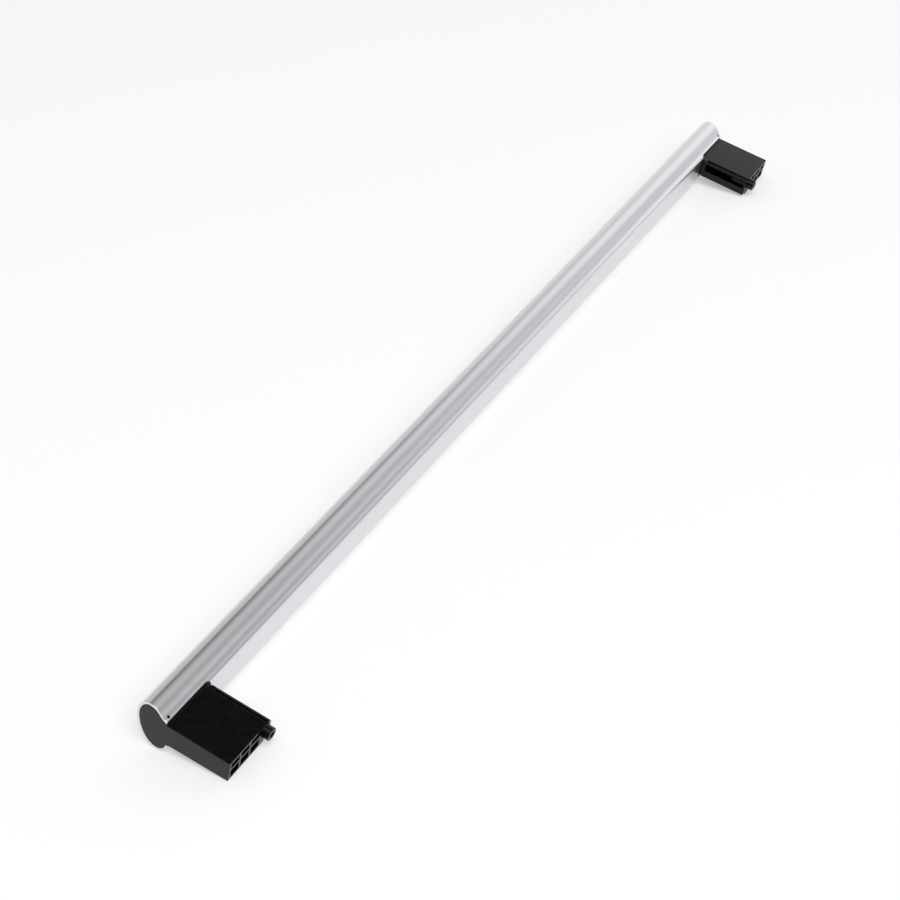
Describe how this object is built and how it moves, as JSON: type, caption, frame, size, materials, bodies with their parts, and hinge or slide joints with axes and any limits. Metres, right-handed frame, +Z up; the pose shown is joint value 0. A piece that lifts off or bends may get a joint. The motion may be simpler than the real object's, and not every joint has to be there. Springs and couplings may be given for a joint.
{
  "type": "oven door handle",
  "caption": "Straight grip bar of hollow satin aluminium on moulded black plastic end brackets with ribbed arms and screw bosses for an oven door.",
  "frame": {"origin": "middle of the door's face between the two arms, at mid-length of the bar and level with the screw bosses", "axes": "+X along the bar towards the right bracket as seen from in front of the oven, +Y from the bar to the door, +Z up on a closed door"},
  "size_m": [0.545, 0.0489, 0.0261],
  "materials": {
    "satin_aluminium": "satin anodised, fine brushing along the bar",
    "black_plastic": "moulded, semi-gloss"
  },
  "bodies": {
    "root": {"handle_bar": "satin_aluminium", "bracket_right": "black_plastic", "bracket_left": "black_plastic"}
  },
  "joints": []
}
